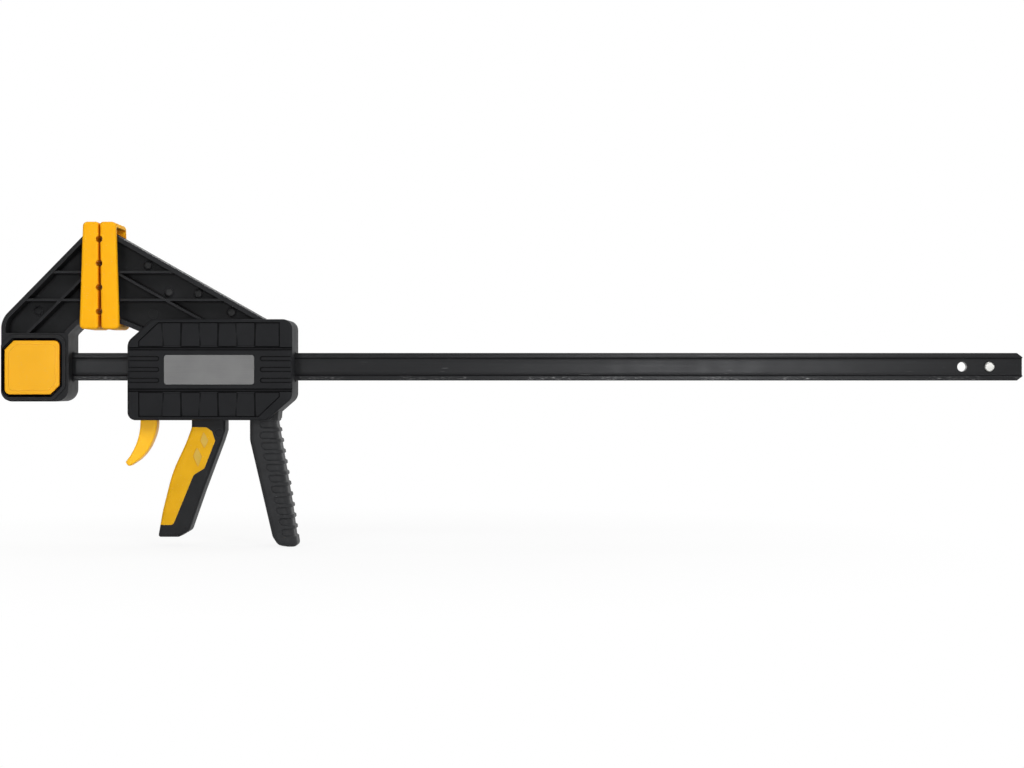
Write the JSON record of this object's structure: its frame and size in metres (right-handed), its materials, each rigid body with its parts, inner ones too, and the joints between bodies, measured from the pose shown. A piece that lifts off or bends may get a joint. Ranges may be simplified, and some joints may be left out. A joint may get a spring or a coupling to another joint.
{
  "type": "quick release bar clamp",
  "caption": "One-handed bar clamp: ribbed jaws with soft pads on a steel bar, squeeze trigger, release lever and a push button that frees the fixed jaw.",
  "frame": {"origin": "on the bar's centre line, in the plane where the two jaw pads meet with the clamp closed", "axes": "+X along the bar from the fixed jaw to the free end, -Y is the front face, +Z from the bar towards the jaw tips"},
  "size_m": [0.7371, 0.042, 0.234],
  "materials": {
    "black_steel": "satin black oxide, drawn along its length",
    "bright_steel": "zinc plated",
    "spring_steel": "oiled spring wire",
    "plate_steel": "hardened, ground faces",
    "black_nylon": "glass-filled nylon, fine moulded grain",
    "cover_plastic": "moulded, satin",
    "amber_rubber": "soft thermoplastic rubber, matte",
    "amber_plastic": "moulded, semi-gloss",
    "amber_inlay": "soft overmoulded inlay",
    "label_metal": "brushed grey, bare"
  },
  "bodies": {
    "bar_frame": {"bar": "black_steel", "stop_pin": "bright_steel", "fixed_jaw": "black_nylon", "fixed_jaw_pad": "amber_rubber", "lock_cap": "black_nylon", "button_spring": "spring_steel"},
    "button": {"push_button": "amber_plastic", "lock_yoke": "bright_steel"},
    "head": {"moving_jaw_body": "black_nylon", "moving_jaw_pad": "amber_rubber", "front_cover": "cover_plastic", "rear_cover": "cover_plastic", "front_label_plate": "label_metal", "rear_label_plate": "label_metal", "cover_screws": "bright_steel", "trigger_pivot_pin": "bright_steel", "drive_spring": "spring_steel", "brake_spring": "spring_steel"},
    "trigger": {"trigger": "black_nylon", "trigger_inlay": "amber_inlay"},
    "drive_plates": {"drive_plate_front": "plate_steel", "drive_plate_rear": "plate_steel"},
    "release": {"brake_plate_front": "plate_steel", "brake_plate_rear": "plate_steel", "release_lever": "amber_plastic"}
  },
  "joints": [
    {"name": "jaw_slide", "type": "slide", "parent": "bar_frame", "child": "head", "axis": [1, 0, 0], "range_m": [0, 0.5]},
    {"name": "trigger_squeeze", "type": "hinge", "parent": "head", "child": "trigger", "pos_m": [0.0775, 0, 0.02], "axis": [0, -1, 0], "range_deg": [0, 13.5], "stiffness_Nm_per_rad": 1.2, "springref_deg": -14.32},
    {"name": "drive_plate_slide", "type": "slide", "parent": "head", "child": "drive_plates", "axis": [1, 0, 0], "range_m": [0, 0.0081], "deforming": ["drive_spring"]},
    {"name": "release_pull", "type": "hinge", "parent": "head", "child": "release", "pos_m": [0.0336, 0, 0.018], "axis": [0, -1, 0], "range_deg": [0, 8], "stiffness_Nm_per_rad": 0.6, "springref_deg": -17.19, "deforming": ["brake_spring"]},
    {"name": "button_press", "type": "slide", "parent": "bar_frame", "child": "button", "axis": [0, 1, 0], "range_m": [0, 0.0045], "stiffness_N_per_m": 900, "springref_m": -0.003, "deforming": ["button_spring"]}
  ],
  "couplings": [
    {"joint": "drive_plate_slide", "follows": "trigger_squeeze", "m_per_rad": 0.034}
  ]
}
